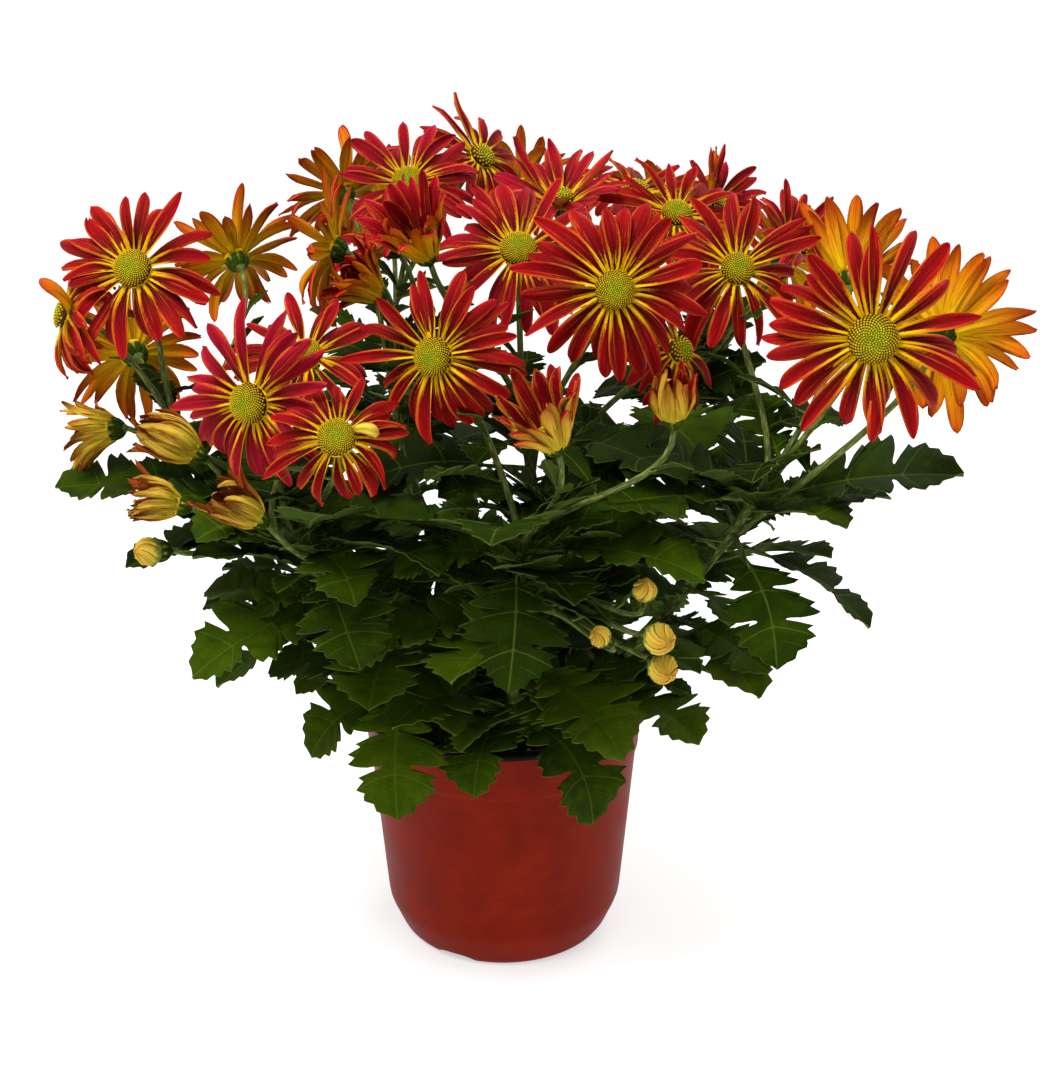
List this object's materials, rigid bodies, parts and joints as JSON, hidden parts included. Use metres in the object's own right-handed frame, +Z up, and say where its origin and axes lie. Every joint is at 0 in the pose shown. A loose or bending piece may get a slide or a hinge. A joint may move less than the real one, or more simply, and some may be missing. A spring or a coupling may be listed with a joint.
{
  "type": "potted chrysanthemum",
  "caption": "Flowering chrysanthemum in a round plastic nursery pot of peat: leafy stems, daisy-like red and yellow heads and a few buds, standing on the pot's flat underside.",
  "frame": {"origin": "middle of the pot's flat underside, on the surface that it stands on", "axes": "+Z up along the pot's axis, -Y towards the front that most flower heads face, +X to the right as seen from there"},
  "size_m": [0.3806, 0.3332, 0.3768],
  "materials": {
    "pot_plastic": "satin",
    "peat": "matte",
    "green_parts": "satin",
    "petals": "satin",
    "disc_florets": "matte",
    "bud_petals": "satin"
  },
  "bodies": {
    "root": {"pot": "pot_plastic", "soil": "peat", "bloom_01": "petals", "bloom_02": "petals", "bloom_03": "petals", "bloom_04": "petals", "bloom_05": "petals", "bloom_06": "petals", "bloom_07": "petals", "bloom_08": "petals", "bloom_09": "petals", "bloom_10": "petals", "bloom_11": "petals", "bloom_12": "petals", "bloom_13": "petals", "bloom_14": "petals", "bloom_15": "petals", "bloom_16": "petals", "bloom_17": "petals", "bloom_18": "petals", "bloom_19": "petals", "bloom_20": "petals", "bloom_21": "petals", "bloom_22": "petals", "bloom_23": "petals", "bloom_24": "petals", "bloom_25": "petals", "bloom_26": "petals", "bloom_27": "petals", "bloom_28": "petals", "bloom_29": "petals", "bloom_30": "petals", "bloom_31": "petals", "bloom_32": "petals", "bloom_33": "petals", "bloom_34": "petals", "disc_01": "disc_florets", "disc_02": "disc_florets", "disc_03": "disc_florets", "disc_04": "disc_florets", "disc_05": "disc_florets", "disc_06": "disc_florets", "disc_07": "disc_florets", "disc_08": "disc_florets", "disc_09": "disc_florets", "bud_1": "bud_petals", "bud_2": "bud_petals", "bud_3": "bud_petals", "bud_4": "bud_petals", "bud_5": "bud_petals", "bud_6": "bud_petals", "bud_7": "bud_petals", "bud_8": "bud_petals", "leafy_stem_1": "green_parts", "leafy_stem_2": "green_parts", "leafy_stem_3": "green_parts", "leafy_stem_4": "green_parts", "leafy_stem_5": "green_parts", "leafy_stem_6": "green_parts", "leafy_stem_7": "green_parts"}
  },
  "joints": []
}
